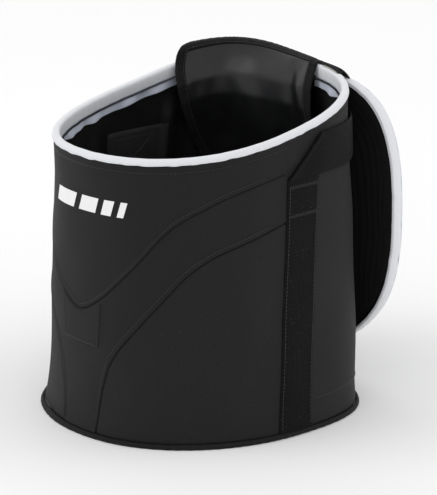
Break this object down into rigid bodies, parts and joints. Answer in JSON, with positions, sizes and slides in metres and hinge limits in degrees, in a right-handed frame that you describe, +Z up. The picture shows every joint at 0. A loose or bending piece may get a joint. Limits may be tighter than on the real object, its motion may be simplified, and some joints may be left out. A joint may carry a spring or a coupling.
{
  "type": "skate bag",
  "caption": "Soft bucket-shaped ice sports equipment bag with sewn front panels, zipped rim, fold-back lid and a webbing carry handle.",
  "frame": {"origin": "on the floor plane under the bag, on its left-right centre line, in the middle of the base", "axes": "+Z up, -Y towards the front panel with the chevron seams, +X towards the bag's right side as seen from the front with +Y to the back where the lid hangs"},
  "size_m": [0.2762, 0.3003, 0.3135],
  "materials": {
    "fabric": "coated woven polyester, matt",
    "fabric_base": "coated woven polyester, matt",
    "board": "plain stiffener board",
    "piping": "fabric piping over a cord",
    "foam": "closed foam between fabric layers",
    "liner": "coated liner cloth",
    "white_tape": "white grosgrain binding tape",
    "zip_tape": "white zip tape",
    "zip_coil": "black nylon coil",
    "zip_metal": "black painted zinc",
    "webbing": "ribbed polypropylene webbing",
    "thread": "black sewing thread",
    "black_tape": "black binding tape",
    "vinyl": "glossy soft vinyl",
    "print": "white heat-transfer print"
  },
  "bodies": {
    "bag": {"base_panel": "fabric_base", "base_board": "board", "base_piping": "piping", "wall_foam": "foam", "front_upper_panel": "fabric", "front_v_band": "fabric", "front_patch": "fabric", "side_lower_panel_left": "fabric", "side_lower_panel_right": "fabric", "back_panel": "fabric", "liner_wall": "liner", "liner_floor": "liner", "rim_binding": "white_tape", "body_zip_tape": "zip_tape", "body_zip_coil": "zip_coil", "body_zip_stops": "zip_metal", "side_webbing_left": "webbing", "side_webbing_right": "webbing", "handle_fold_left": "webbing", "handle_fold_right": "webbing", "webbing_bartacks": "thread", "inner_patch_left": "webbing", "inner_patch_right": "webbing", "front_mark": "print", "flap_panel": "vinyl", "flap_binding": "black_tape", "hinge_strip": "vinyl"},
    "handle": {"carry_handle": "webbing"},
    "lid": {"lid_panel": "fabric", "lid_core": "foam", "lid_liner": "liner", "lid_binding": "white_tape", "lid_zip_tape": "zip_tape", "lid_zip_coil": "zip_coil"},
    "slider": {"zip_slider": "zip_metal"},
    "pull": {"zip_pull": "zip_metal"}
  },
  "joints": [
    {"name": "lid_fold", "type": "hinge", "parent": "bag", "child": "lid", "pos_m": [0, 0.144, 0.3115], "axis": [1, 0, 0], "range_deg": [0, 278.7], "deforming": ["hinge_strip"]},
    {"name": "handle_swing", "type": "hinge", "parent": "bag", "child": "handle", "pos_m": [0, 0.037, 0.2535], "axis": [1, 0, 0], "range_deg": [-12, 12]},
    {"name": "slider_travel", "type": "slide", "parent": "lid", "child": "slider", "axis": [0, 0, 1], "range_m": [-0.05, 0]},
    {"name": "pull_swing", "type": "hinge", "parent": "slider", "child": "pull", "pos_m": [-0.1195, 0.141, 0.198], "axis": [0, 1, 0], "range_deg": [0, 165]}
  ]
}
